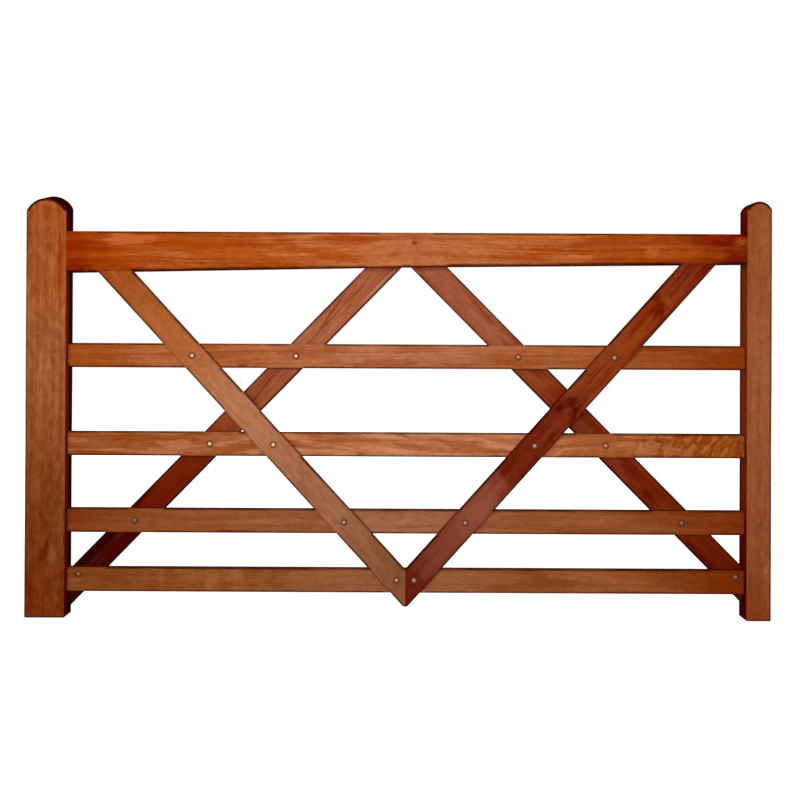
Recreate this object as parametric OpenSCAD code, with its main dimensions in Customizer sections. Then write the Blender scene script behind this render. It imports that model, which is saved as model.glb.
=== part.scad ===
// Leaf of a hardwood field gate, braced in a diamond.
// Two stiles carry a tapered top rail and four thin rails on pegged mortise and tenon joints.
// Two front braces meet in a V at the bottom rail, and two rear braces meet under the top rail.
// X runs from the outer face of the hanging stile to the slamming stile, the front looks to -Y,
// Y = 0 is the middle of the thickness, and Z runs up from the feet of the stiles.

/* [Frame] */
// Width of the gate over both stiles
gate_w = 2134; // [1800:1:2700]
// Thickness of the stiles and of the top rail
frame_t = 70; // [66:1:90]
// Height of the stiles above the top rail, at the front
horn_h = 94; // [70:1:140]

/* [Stiles] */
// Width of the hanging stile
hanging_w = 115; // [100:1:140]
// Width of the slamming stile
slamming_w = 71; // [66:1:90]
// Rise of the rounded top of the hanging stile
hanging_crown = 37; // [15:1:48]
// Rise of the rounded top of the slamming stile
slamming_crown = 25; // [10:1:29]
// How much higher the hanging stile's top is at the back than at the front
hanging_weathering = 14; // [0:1:20]

/* [Top rail] */
// Depth of the top rail at the hanging stile
top_h_hanging = 116; // [100:1:130]
// Depth of the top rail at the middle of the gate
top_h_middle = 96; // [86:1:110]
// Depth of the top rail at the slamming stile
top_h_slamming = 84; // [76:1:94]

/* [Thin rails] */
// Height of each thin rail
rail_h = 70; // [55:1:85]
// Thickness of each thin rail
rail_t = 22; // [18:1:26]
// Clear height under the bottom rail
foot_clear = 71; // [55:1:90]
// Clear gap between the bottom rail and the lower rail
bottom_gap = 100; // [70:1:130]
// Clear gap between the lower rail and the middle rail
lower_gap = 151; // [100:1:190]
// Clear gap between the middle rail and the upper rail
middle_gap = 184; // [130:1:230]
// Clear gap between the upper rail and the top rail, at the slamming stile
upper_gap = 236; // [180:1:280]

/* [Braces] */
// Width of each brace
brace_w = 75; // [60:1:84]
// Thickness of each brace
brace_t = 20; // [16:1:22]
// Height at which the centre lines of the front braces meet
front_foot_z = 85; // [75:1:100]
// Height of the flat cut across the tip of the V
front_tip_z = 36; // [30:1:45]
// Distance from the hanging stile to its front brace's centre line, under the top rail
front_head_in_hanging = 111; // [90:1:180]
// Distance from the slamming stile to its front brace's centre line, under the top rail
front_head_in_slamming = 135; // [90:1:180]
// Height at which the centre line of the hanging stile's rear brace reaches it
rear_foot_z_hanging = 76; // [68:1:110]
// Height at which the centre line of the slamming stile's rear brace reaches it
rear_foot_z_slamming = 96; // [85:1:115]
// Distance from the middle of the gate to each rear brace's centre line, under the top rail
rear_head_out = 54; // [52:1:90]

/* [Joints] */
// Timber of the hanging stile left outside each rail's tenon
hanging_tenon_cover = 29; // [19:1:45]
// Timber of the slamming stile left outside each rail's tenon
slamming_tenon_cover = 21; // [16:1:24]
// Thickness of the top rail's tenons
top_tenon_t = 24; // [18:1:28]
// Timber left above and below each tenon of the top rail
top_tenon_shoulder = 14; // [8:1:18]
// Thickness of the tenon at the head of each brace
brace_tenon_t = 10; // [6:1:14]
// Timber of the top rail left above the braces' tenons
brace_tenon_cover = 50; // [35:1:60]
// Diameter of the pegs that lock the tenons
peg_d = 10; // [8:0.5:14]
// Distance of each peg from the inner face of its stile
peg_in = 37; // [24:1:40]
// Distance of the top pegs below the top edge of the top rail
top_peg_drop = 42; // [36:1:48]
// Gap between a tenon and the walls of its mortise
joint_gap = 0.2; // [0.1:0.05:0.5]
// Gap between a peg and its hole
peg_gap = 0.1; // [0.05:0.05:0.3]

/* [Bolts] */
// Diameter of the holes for the bolts that join braces to rails
bolt_hole_d = 8.5; // [6.5:0.5:10.5]
// Diameter of the recess for each nut in the back of the rear braces
nut_recess_d = 26; // [20:1:30]
// Depth of the recess for each nut
nut_recess_depth = 7; // [4:1:9]
// Distance between the two bolts that hold the tip of the V
tip_bolt_gap = 50; // [44:1:70]
// Height of those two bolts above the middle of the bottom rail
tip_bolt_rise = 5; // [0:1:15]
// Distance of the lowest bolt of the hanging stile's rear brace from that stile
foot_bolt_in_hanging = 33; // [24:1:50]
// Distance of the lowest bolt of the slamming stile's rear brace from that stile
foot_bolt_in_slamming = 23; // [20:1:50]
// Height of the rear braces' lowest bolts above the middle of the bottom rail
foot_bolt_rise = 15; // [0:1:22]

/* [Hidden] */
$fn = 96;

HANGING = -1;
SLAMMING = 1;

// Centre heights of the four thin rails, counted from the bottom one
bottom_z = foot_clear + rail_h / 2;
lower_z = bottom_z + rail_h + bottom_gap;
middle_z = lower_z + rail_h + lower_gap;
upper_z = middle_z + rail_h + middle_gap;
thin_rails = [bottom_z, lower_z, middle_z, upper_z];

// Underside of the top rail at its shallow end, its top edge, and the front height of the stiles
under_z = upper_z + rail_h / 2 + upper_gap;
top_z = under_z + top_h_slamming;
stile_h = top_z + horn_h;

// Inner faces of the stiles and the middle between them
hanging_x = hanging_w;
slamming_x = gate_w - slamming_w;
mid_x = (hanging_x + slamming_x) / 2;

// Ends of the rails' tenons inside the stiles
hanging_tenon_x = hanging_tenon_cover;
slamming_tenon_x = gate_w - slamming_tenon_cover;

// Front faces of the layers, from front to back
frame_y = -frame_t / 2;
rail_y = -rail_t / 2;
front_brace_y = rail_y - brace_t;
rear_brace_y = rail_t / 2;

brace_tenon_z = top_z - brace_tenon_cover;
top_peg_z = top_z - top_peg_drop;
peg_heights = [bottom_z, lower_z, middle_z, upper_z, top_peg_z];

// Far enough to pass right through any timber
through = gate_w;

function stile_x(side) = side == HANGING ? hanging_x : slamming_x;
function peg_x(side) = stile_x(side) + side * peg_in;
function front_head_in(side) = side == HANGING ? front_head_in_hanging : front_head_in_slamming;
function rear_foot_z(side) = side == HANGING ? rear_foot_z_hanging : rear_foot_z_slamming;
function foot_bolt_in(side) = side == HANGING ? foot_bolt_in_hanging : foot_bolt_in_slamming;

// Ends of the centre line of a brace, as [x, z]
function front_foot() = [mid_x, front_foot_z];
function front_head(side) = [stile_x(side) - side * front_head_in(side), under_z];
function rear_foot(side) = [stile_x(side), rear_foot_z(side)];
function rear_head(side) = [mid_x + side * rear_head_out, under_z];

// Where the line from a to b passes the height z
function x_at(a, b, z) = a[0] + (b[0] - a[0]) * (z - a[1]) / (b[1] - a[1]);

// Places of the bolts of a brace, as [x, z], from the bottom rail up
function front_bolts(side) = concat(
    [[mid_x + side * tip_bolt_gap / 2, bottom_z + tip_bolt_rise]],
    [for (z = [lower_z, middle_z, upper_z]) [x_at(front_foot(), front_head(side), z), z]]
);
function rear_bolts(side) = concat(
    [[stile_x(side) - side * foot_bolt_in(side), bottom_z + foot_bolt_rise]],
    [for (z = [lower_z, middle_z, upper_z]) [x_at(rear_foot(side), rear_head(side), z), z]]
);

// A plane figure drawn in X and Z, given a thickness from the plane y towards the back
module slab(y, thickness) {
    translate([0, y + thickness, 0])
        rotate([90, 0, 0])
            linear_extrude(thickness)
                children();
}

// A hole along Y from the plane y towards the back
module hole(place, diameter, y = -through / 2, depth = through) {
    translate([place[0], y + depth, place[1]])
        rotate([90, 0, 0])
            cylinder(d = diameter, h = depth);
}

module bolt_holes(places) {
    for (place = places)
        hole(place, bolt_hole_d);
}

module nut_recesses(places) {
    for (place = places)
        hole(place, nut_recess_d, rear_brace_y + brace_t - nut_recess_depth, through);
}

module peg_holes(side, heights) {
    for (z = heights)
        hole([peg_x(side), z], peg_d + 2 * peg_gap);
}

// A plane figure as wide as a stile's crown is round: an arc that drops plumb far outside the stile
module arch(width, rise) {
    radius = (pow(width / 2, 2) + pow(rise, 2)) / (2 * rise);
    translate([width / 2, rise - radius]) {
        circle(r = radius);
        translate([-radius, -through])
            square([2 * radius, through]);
    }
}

// A stile with its rounded top, whose surface climbs from the front to the back
module stile_bar(width, rise, climb) {
    tilt = atan(climb / frame_t);
    intersection() {
        translate([0, frame_y, 0])
            cube([width, frame_t, stile_h + rise + climb]);
        translate([0, frame_y, stile_h - rise])
            rotate([tilt, 0, 0])
                slab(-stile_h, 2 * stile_h)
                    arch(width, rise * cos(tilt));
    }
}

// The outline of the top rail between the stiles: its underside rises in two straight tapers
module top_rail_outline() {
    polygon([
        [hanging_x, top_z],
        [slamming_x, top_z],
        [slamming_x, top_z - top_h_slamming],
        [mid_x, top_z - top_h_middle],
        [hanging_x, top_z - top_h_hanging]
    ]);
}

// The two tenons of the top rail, with the gap added all round for their mortises
module top_tenons(gap) {
    ends = [
        [hanging_tenon_x - gap, hanging_x, top_h_hanging],
        [slamming_x, slamming_tenon_x + gap, top_h_slamming]
    ];
    for (end = ends)
        translate([end[0], -top_tenon_t / 2 - gap, top_z - end[2] + top_tenon_shoulder - gap])
            cube([
                end[1] - end[0],
                top_tenon_t + 2 * gap,
                end[2] - 2 * top_tenon_shoulder + 2 * gap
            ]);
}

// A thin rail with the tenons at its ends, with the gap added all round for their mortises
module rail_bar(z, gap) {
    translate([hanging_tenon_x - gap, rail_y - gap, z - rail_h / 2 - gap])
        cube([slamming_tenon_x - hanging_tenon_x + 2 * gap, rail_t + 2 * gap, rail_h + 2 * gap]);
}

module mortises() {
    top_tenons(joint_gap);
    for (z = thin_rails)
        rail_bar(z, joint_gap);
}

// A straight board as a plane figure along the line from a to b, running on past both ends
module board_outline(a, b, width) {
    run_on = brace_w + frame_t + top_h_hanging;
    length = norm(b - a) + 2 * run_on;
    translate(a)
        rotate(atan2(b[1] - a[1], b[0] - a[0]))
            translate([-run_on, -width / 2])
                square([length, width]);
}

// The half of the gate on one side of its middle, between its stile and the middle
module half_outline(side, low_z, high_z) {
    left_x = side == HANGING ? hanging_x : mid_x;
    right_x = side == HANGING ? mid_x : slamming_x;
    translate([left_x, low_z])
        square([right_x - left_x, high_z - low_z]);
}

module front_board(side, gap) {
    intersection() {
        board_outline(front_foot(), front_head(side), brace_w + 2 * gap);
        half_outline(side, front_tip_z, brace_tenon_z + gap);
    }
}

module rear_board(side, gap) {
    intersection() {
        board_outline(rear_foot(side), rear_head(side), brace_w + 2 * gap);
        half_outline(side, 0, brace_tenon_z + gap);
    }
}

// A front brace: full thickness up to the top rail, then a tenon flush with its back
module front_brace_bar(side) {
    slab(front_brace_y, brace_t)
        difference() {
            front_board(side, 0);
            top_rail_outline();
        }
    slab(rail_y - brace_tenon_t, brace_tenon_t)
        front_board(side, 0);
}

// A rear brace: full thickness up to the top rail, then a tenon flush with its front
module rear_brace_bar(side) {
    slab(rear_brace_y, brace_t)
        difference() {
            rear_board(side, 0);
            top_rail_outline();
        }
    slab(rear_brace_y, brace_tenon_t)
        rear_board(side, 0);
}

module brace_mortises() {
    for (side = [HANGING, SLAMMING]) {
        slab(rail_y - brace_tenon_t - joint_gap, brace_tenon_t + 2 * joint_gap)
            front_board(side, joint_gap);
        slab(rear_brace_y - joint_gap, brace_tenon_t + 2 * joint_gap)
            rear_board(side, joint_gap);
    }
}

module hanging_stile() {
    color("peru")
        difference() {
            stile_bar(hanging_w, hanging_crown, hanging_weathering);
            mortises();
            peg_holes(HANGING, peg_heights);
        }
}

module slamming_stile() {
    color("sienna")
        difference() {
            translate([slamming_x, 0, 0])
                stile_bar(slamming_w, slamming_crown, 0);
            mortises();
            peg_holes(SLAMMING, peg_heights);
        }
}

module top_rail() {
    color("chocolate")
        difference() {
            union() {
                slab(frame_y, frame_t)
                    top_rail_outline();
                top_tenons(0);
            }
            brace_mortises();
            peg_holes(HANGING, [top_peg_z]);
            peg_holes(SLAMMING, [top_peg_z]);
        }
}

// A thin rail at the height of the bolts numbered from the bottom rail up
module thin_rail(number) {
    z = thin_rails[number];
    difference() {
        rail_bar(z, 0);
        for (side = [HANGING, SLAMMING]) {
            peg_holes(side, [z]);
            bolt_holes([front_bolts(side)[number], rear_bolts(side)[number]]);
        }
    }
}

module bottom_rail() {
    color("sienna")
        thin_rail(0);
}

module lower_rail() {
    color("sienna")
        thin_rail(1);
}

module middle_rail() {
    color("peru")
        thin_rail(2);
}

module upper_rail() {
    color("chocolate")
        thin_rail(3);
}

module front_brace(side) {
    difference() {
        front_brace_bar(side);
        bolt_holes(front_bolts(side));
    }
}

module rear_brace(side) {
    difference() {
        rear_brace_bar(side);
        bolt_holes(rear_bolts(side));
        nut_recesses(rear_bolts(side));
    }
}

module front_brace_hanging() {
    color("peru")
        front_brace(HANGING);
}

module front_brace_slamming() {
    color("saddlebrown")
        front_brace(SLAMMING);
}

module rear_brace_hanging() {
    color("brown")
        rear_brace(HANGING);
}

module rear_brace_slamming() {
    color("brown")
        rear_brace(SLAMMING);
}

// A peg through a stile and the tenon in it, flush with both faces of the stile
module peg(side, z) {
    color("saddlebrown")
        hole([peg_x(side), z], peg_d, frame_y, frame_t);
}

hanging_stile();
slamming_stile();
top_rail();
upper_rail();
middle_rail();
lower_rail();
bottom_rail();
front_brace_hanging();
front_brace_slamming();
rear_brace_hanging();
rear_brace_slamming();
peg(HANGING, top_peg_z);  // hanging_peg_top
peg(HANGING, upper_z);  // hanging_peg_upper
peg(HANGING, middle_z);  // hanging_peg_middle
peg(HANGING, lower_z);  // hanging_peg_lower
peg(HANGING, bottom_z);  // hanging_peg_bottom
peg(SLAMMING, top_peg_z);  // slamming_peg_top
peg(SLAMMING, upper_z);  // slamming_peg_upper
peg(SLAMMING, middle_z);  // slamming_peg_middle
peg(SLAMMING, lower_z);  // slamming_peg_lower
peg(SLAMMING, bottom_z);  // slamming_peg_bottom
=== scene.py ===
import math

import bmesh
import bpy
from mathutils import Matrix, Vector
from mathutils.geometry import convex_hull_2d


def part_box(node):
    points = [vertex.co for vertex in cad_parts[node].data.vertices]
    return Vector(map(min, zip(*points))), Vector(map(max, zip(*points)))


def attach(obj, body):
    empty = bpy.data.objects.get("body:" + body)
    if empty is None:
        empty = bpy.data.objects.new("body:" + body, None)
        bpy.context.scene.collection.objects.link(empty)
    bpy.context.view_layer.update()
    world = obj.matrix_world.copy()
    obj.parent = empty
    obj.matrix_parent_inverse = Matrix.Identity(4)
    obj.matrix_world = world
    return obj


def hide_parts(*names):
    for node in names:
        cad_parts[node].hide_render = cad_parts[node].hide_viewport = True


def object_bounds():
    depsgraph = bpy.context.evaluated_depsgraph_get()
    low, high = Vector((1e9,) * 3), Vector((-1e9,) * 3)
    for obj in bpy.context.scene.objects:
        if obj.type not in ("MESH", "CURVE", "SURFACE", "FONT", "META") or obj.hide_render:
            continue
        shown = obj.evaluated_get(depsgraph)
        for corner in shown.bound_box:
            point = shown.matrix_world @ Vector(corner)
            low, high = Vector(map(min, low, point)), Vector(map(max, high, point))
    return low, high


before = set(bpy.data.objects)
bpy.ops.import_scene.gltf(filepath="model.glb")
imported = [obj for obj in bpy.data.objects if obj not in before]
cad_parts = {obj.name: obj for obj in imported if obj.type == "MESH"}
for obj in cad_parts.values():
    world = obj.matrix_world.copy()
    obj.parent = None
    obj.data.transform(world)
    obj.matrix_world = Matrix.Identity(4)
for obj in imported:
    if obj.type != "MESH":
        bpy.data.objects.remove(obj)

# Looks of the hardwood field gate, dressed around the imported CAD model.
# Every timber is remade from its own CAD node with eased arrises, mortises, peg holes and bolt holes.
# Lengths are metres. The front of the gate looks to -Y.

CAD_BOX = [list(corner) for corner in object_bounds()]
MM = 0.001

# Timber
ARRIS = 3.0 * MM            # radius of the eased arrises
ARRIS_STEPS = 3
ROUNDED_TURN = math.radians(30)     # an outline's corners that turn by more are rounded
EDGE_CORE = 0.5 * MM        # how far the painted shade along an arris reaches into a face at full strength
EDGE_BAND = 4.2 * MM        # and where it has faded out
PALE_ARRIS = 0.1            # share of that darkness on the stiles' inner arrises
SQUARE_INSET = 0.002        # share of an inset by which a square edge moves, so that no face has no width
SAME = 0.02 * MM            # points nearer than this are one point
HOLE_REACH = 30.0 * MM      # points on a CAD face's hole lie nearer than this to each other
RECESS_R = 13.0 * MM        # of the recess for a nut in a rear brace
RECESS_LIMIT = 12.0 * MM    # and no recess is deeper than this
STUB = 15.0 * MM            # length of a rail's end inside its stile
CLEARANCE = 0.2 * MM        # gap round a rail's end in its mortise
ROUND_STEPS = 40            # segments of a bolt, a washer or a round hole

# Fasteners: M8 cup-head bolts with washers and nuts
BOLT_R = 4.0 * MM
BOLT_HOLE_R = BOLT_R + CLEARANCE
THREAD_ROOT_R = BOLT_R * 0.87
BOLT_TIP_R = BOLT_R * 0.8
HEAD_R = 8.6 * MM
HEAD_H = 3.6 * MM
HEAD_RIM = 0.15 * MM
DOME_WIDTH, DOME_DEPTH = 0.985, 0.94    # shares of the head that its dome takes up inside its rim
WASHER_R = 11.5 * MM
WASHER_T = 1.6 * MM
NUT_R = 6.5 * MM            # to its flats
NUT_H = 6.5 * MM
NUT_STEPS = 48
NUT_TURN = 0.37             # each nut stands this much further round than the one before, in radians
BOLT_END = 2.2 * MM         # bolt standing out of its nut
THREAD_PITCH = 1.25 * MM
THREAD_LENGTH = 14.0 * MM
PEG_RECESS = 0.4 * MM       # how far a peg's ends lie below the stile's faces
PEG_RIM = 0.5 * MM          # the eased rim of a peg's ends
PEG_STEPS = 28


# ---------------- geometry read from the frame

def plane_points(node, y):
    """The different points of a CAD node that lie on the plane y, as (x, z)."""
    found = []
    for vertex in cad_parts[node].data.vertices:
        if abs(vertex.co.y - y) > SAME:
            continue
        point = Vector((vertex.co.x, vertex.co.z))
        if all((point - other).length > SAME for other in found):
            found.append(point)
    return found


def outline_and_holes(node, y):
    """The convex outline of a CAD node on the plane y, and the centres of the round holes in it."""
    points = plane_points(node, y)
    corners = [points[i] for i in convex_hull_2d(points)]
    rest = [p for p in points if all(off_line(p, a, b) > SAME for a, b in edges_of(corners))]
    return drop_straight(corners), hole_centres(rest)


def hole_centres(points):
    """The centres of the round holes that have these points on their rims."""
    rims = []
    for point in points:
        near = [rim for rim in rims if (rim[0] - point).length < HOLE_REACH]
        if near:
            near[0].append(point)
        else:
            rims.append([point])
    return [middle(rim) for rim in rims]


def middle(points):
    low = Vector((min(p.x for p in points), min(p.y for p in points)))
    high = Vector((max(p.x for p in points), max(p.y for p in points)))
    return (low + high) / 2


def edges_of(points):
    return list(zip(points, points[1:] + points[:1]))


def off_line(point, a, b):
    """How far a point lies from the line through a and b."""
    return abs((point - a).cross((b - a).normalized()))


def drop_straight(points):
    """The outline without the points that lie on a straight stretch."""
    kept = []
    for i, point in enumerate(points):
        before, after = points[i - 1], points[(i + 1) % len(points)]
        if off_line(point, before, after) > SAME:
            kept.append(point)
    return kept


# ---------------- meshes

def new_object(name, data):
    piece = bpy.data.objects.new(name, data)
    bpy.context.scene.collection.objects.link(piece)
    return piece


def mesh_of(bm, name):
    """Turns a bmesh into a mesh and frees it."""
    bmesh.ops.recalc_face_normals(bm, faces=bm.faces)
    mesh = bpy.data.meshes.new(name)
    bm.to_mesh(mesh)
    bm.free()
    return mesh


def meet(line, other):
    """Where two lines cross, each a point and a direction."""
    (a, d), (b, e) = line, other
    return a + d * ((b - a).cross(e) / d.cross(e))


def inset_outline(outline, darkness, inset):
    """An outline, anticlockwise, with its eased edges moved in and the corners between them rounded.

    Each point comes with the darkness of its arris. An edge without one is square and hardly moves.
    """
    ring = []
    edges = edges_of(outline)
    for i in range(len(outline)):
        sides = []
        for k in (i - 1, i):
            a, b = edges[k]
            along = (b - a).normalized()
            share = SQUARE_INSET if darkness[k] is None else 1.0
            sides.append((a, along, Vector((-along.y, along.x)), share))
        marks = [darkness[k] for k in (i - 1, i) if darkness[k] is not None]
        turn = math.atan2(sides[0][1].cross(sides[1][1]), sides[0][1].dot(sides[1][1]))
        if len(marks) < 2 or turn < ROUNDED_TURN:
            lines = [(a + inward * inset * share, along) for a, along, inward, share in sides]
            ring.append((meet(*lines), min(marks, default=0.0)))
            continue
        radius = max(ARRIS - inset, ARRIS / 8)
        centre = meet(*[(a + inward * (inset + radius), along) for a, along, inward, _ in sides])
        start = -sides[0][2]
        for step in range(ARRIS_STEPS + 1):
            spin = Matrix.Rotation(turn * step / ARRIS_STEPS, 2)
            ring.append((centre + spin @ start * radius, marks[step * 2 > ARRIS_STEPS]))
    return ring


def board(front, back, y_front, y_back, darkness_of=lambda a, b: 1.0):
    """A board between two anticlockwise outlines, one on the plane y_front and one on y_back.

    Its arrises are rounded, except along the edges for which darkness_of gives None. A vertex attribute,
    edge, holds how strong the painted shade is on the others.
    """
    darkness = [darkness_of(a, b) for a, b in edges_of(front)]
    layers = [(0.0, ARRIS + EDGE_BAND, 0.0), (0.0, ARRIS + EDGE_CORE, 1.0)]
    for step in range(ARRIS_STEPS + 1):
        turn = math.pi / 2 * step / ARRIS_STEPS
        layers.append((ARRIS * (1 - math.cos(turn)), ARRIS * (1 - math.sin(turn)), 1.0))
    layers += [(ARRIS + EDGE_CORE, 0.0, 1.0), (ARRIS + EDGE_BAND, 0.0, 0.0)]
    thickness = y_back - y_front
    layers += [(thickness - depth, inset, mark) for depth, inset, mark in layers[::-1]]
    bm = bmesh.new()
    edge = bm.verts.layers.float.new("edge")
    rings = []
    for depth, inset, mark in layers:
        share = depth / thickness
        ring = []
        for point, dark in inset_outline([a.lerp(b, share) for a, b in zip(front, back)], darkness, inset):
            vert = bm.verts.new((point.x, y_front + depth, point.y))
            vert[edge] = mark * dark
            ring.append(vert)
        rings.append(ring)
    for near, far in zip(rings, rings[1:]):
        for i in range(len(near)):
            bm.faces.new([near[i], near[i - 1], far[i - 1], far[i]])
    bm.faces.new(rings[0])
    bm.faces.new(rings[-1][::-1])
    return bm


def turns(steps):
    return [2 * math.pi * i / steps for i in range(steps)]


def around(radius, turn, y):
    """A point at a distance from the Y axis, turned about it."""
    return (radius * math.cos(turn), y, radius * math.sin(turn))


def lathe(profile, steps=ROUND_STEPS):
    """A solid of revolution about Y: profile is a list of (radius, y), from axis to axis."""
    bm = bmesh.new()
    rings = []
    for radius, y in profile:
        angles = turns(steps) if radius else [0]
        rings.append([bm.verts.new(around(radius, turn, y)) for turn in angles])
    for a, b in zip(rings, rings[1:]):
        for i in range(steps):
            j = (i + 1) % steps
            corners = [a[i % len(a)], a[j % len(a)], b[j % len(b)], b[i % len(b)]]
            bm.faces.new([c for k, c in enumerate(corners) if c not in corners[:k]])
    return bm


def tube(sections):
    """A ring-shaped solid, from its sections in order round its hole, each a closed list of points."""
    bm = bmesh.new()
    rings = [[bm.verts.new(point) for point in section] for section in sections]
    for a, b in zip(rings, rings[1:] + rings[:1]):
        for i in range(len(a)):
            bm.faces.new([a[i - 1], a[i], b[i], b[i - 1]])
    return bm


def moved(bm, x, y, z):
    bmesh.ops.translate(bm, verts=bm.verts, vec=(x, y, z))
    return bm


def merge_into(target, source):
    """Adds one bmesh to another and frees it."""
    mesh = bpy.data.meshes.new("part")
    source.to_mesh(mesh)
    source.free()
    target.from_mesh(mesh)
    bpy.data.meshes.remove(mesh)


def cut_from(piece, cutters):
    """Cuts the solids in a list of bmeshes out of a piece."""
    if not cutters:
        return
    joined = bmesh.new()
    for cutter in cutters:
        merge_into(joined, cutter)
    tool = new_object("cutter", mesh_of(joined, "cutter"))
    cut = piece.modifiers.new("cut", "BOOLEAN")
    cut.operation = "DIFFERENCE"
    cut.solver = "MANIFOLD"
    cut.object = tool
    bpy.context.view_layer.update()
    result = piece.evaluated_get(bpy.context.evaluated_depsgraph_get())
    mesh = bpy.data.meshes.new_from_object(result)
    piece.modifiers.clear()
    piece.data = mesh
    mesh.name = piece.name
    bpy.data.objects.remove(tool)


def box_cutter(low, high):
    bm = bmesh.new()
    bmesh.ops.create_cube(bm, size=1)
    size = [b - a for a, b in zip(low, high)]
    centre = [(a + b) / 2 for a, b in zip(low, high)]
    bmesh.ops.scale(bm, vec=size, verts=bm.verts)
    return moved(bm, *centre)


def hole_cutter(x, z, steps_of_radius):
    """A stepped round cutter about the line (x, z): its steps, each a radius, a y from and a y to, touch."""
    profile = [(0, steps_of_radius[0][1])]
    for radius, start, end in steps_of_radius:
        profile += [(radius, start), (radius, end)]
    profile.append((0, steps_of_radius[-1][2]))
    return moved(lathe(profile), x, 0, z)


def along_grain(piece, start, end):
    """Turns a piece's own axes: X runs with the grain from start to end, Z to the gate's front."""
    grain = (end - start).normalized()
    out = Vector((0, -1, 0))
    across = out.cross(grain)
    turn = Matrix((grain, across, out)).transposed().to_4x4()
    place = Matrix.Translation((start + end) / 2) @ turn
    piece.data.transform(place.inverted())
    piece.matrix_world = place
    piece["length"] = (end - start).length


def finish_mesh(piece):
    """Smooth shading that keeps the flat faces flat."""
    piece.data.shade_smooth()
    piece.data.set_sharp_from_angle(angle=math.radians(35))
    normals = piece.modifiers.new("normals", "WEIGHTED_NORMAL")
    normals.keep_sharp = True
    normals.weight = 80


# ---------------- node trees

class Nodes:
    """Short calls for building a node tree. A value that a node is fed is a socket, a constant or None."""

    def __init__(self, tree):
        self.tree = tree

    def feed(self, node, values):
        """Feeds a node's inputs, by name or number or else in order. None leaves an input as it is."""
        named = values.items() if isinstance(values, dict) else enumerate(values)
        for key, value in named:
            if isinstance(value, bpy.types.NodeSocket):
                self.tree.links.new(value, node.inputs[key])
            elif value is not None:
                node.inputs[key].default_value = value

    def add(self, kind, values=(), **settings):
        node = self.tree.nodes.new(kind)
        for key, value in settings.items():
            setattr(node, key, value)
        self.feed(node, values)
        return node

    def math(self, operation, a, b=None, clamp=False):
        return self.add("ShaderNodeMath", (a, b), operation=operation, use_clamp=clamp).outputs[0]

    def plus(self, a, b):
        return self.math("ADD", a, b)

    def minus(self, a, b):
        return self.math("SUBTRACT", a, b)

    def times(self, a, b):
        return self.math("MULTIPLY", a, b)

    def highest(self, a, b):
        return self.math("MAXIMUM", a, b)

    def vector(self, operation, a, b=None, scale=None):
        node = self.add("ShaderNodeVectorMath", {0: a, 1: b, "Scale": scale}, operation=operation)
        return node.outputs["Value"] if operation in ("LENGTH", "DOT_PRODUCT") else node.outputs[0]

    def length(self, vector):
        return self.vector("LENGTH", vector)

    def xyz(self, vector):
        return self.add("ShaderNodeSeparateXYZ", [vector]).outputs

    def join(self, x, y, z):
        return self.add("ShaderNodeCombineXYZ", (x, y, z)).outputs[0]

    def noise(self, vector, detail=2.0, roughness=0.5, distortion=0.0):
        values = {"Scale": 1.0, "Detail": detail, "Roughness": roughness, "Distortion": distortion}
        return self.add("ShaderNodeTexNoise", {"Vector": vector, **values}, noise_dimensions="3D").outputs[0]

    def noise_vector(self, vector, scale):
        """Three noises about 0."""
        node = self.add("ShaderNodeTexNoise", {"Vector": vector, "Scale": scale}, noise_dimensions="3D")
        return self.vector("SUBTRACT", node.outputs["Color"], (0.5, 0.5, 0.5))

    def between(self, value, low, high, to_low=0.0, to_high=1.0, smooth=True):
        way = "SMOOTHSTEP" if smooth else "LINEAR"
        values = (value, low, high, to_low, to_high)
        return self.add("ShaderNodeMapRange", values, interpolation_type=way).outputs[0]

    def mix(self, factor, a, b, blend="MIX"):
        values = {"Factor": factor, "A": a, "B": b}
        return self.add("ShaderNodeMix", values, data_type="RGBA", blend_type=blend).outputs["Result"]

    def tinted(self, colour, tint):
        return self.mix(1.0, colour, tint, blend="MULTIPLY")

    def ramp(self, factor, stops):
        """Colours between stops of a place, a colour and perhaps a spread, which is the second result."""
        node = self.add("ShaderNodeValToRGB", [factor])
        node.color_ramp.interpolation = "EASE"
        elements = node.color_ramp.elements
        while len(elements) < len(stops):
            elements.new(1.0)
        for element, (place, colour, *spread) in zip(elements, stops):
            element.position = place
            element.color = (*srgb(*colour)[:3], *(spread or [1.0]))
        return node.outputs


def srgb(red, green, blue):
    """A colour written as it looks on screen, 0 to 255, as the linear colour that a shader takes."""
    linear = []
    for value in (red, green, blue):
        v = value / 255
        linear.append(v / 12.92 if v <= 0.04045 else ((v + 0.055) / 1.055) ** 2.4)
    return (*linear, 1.0)


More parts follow.
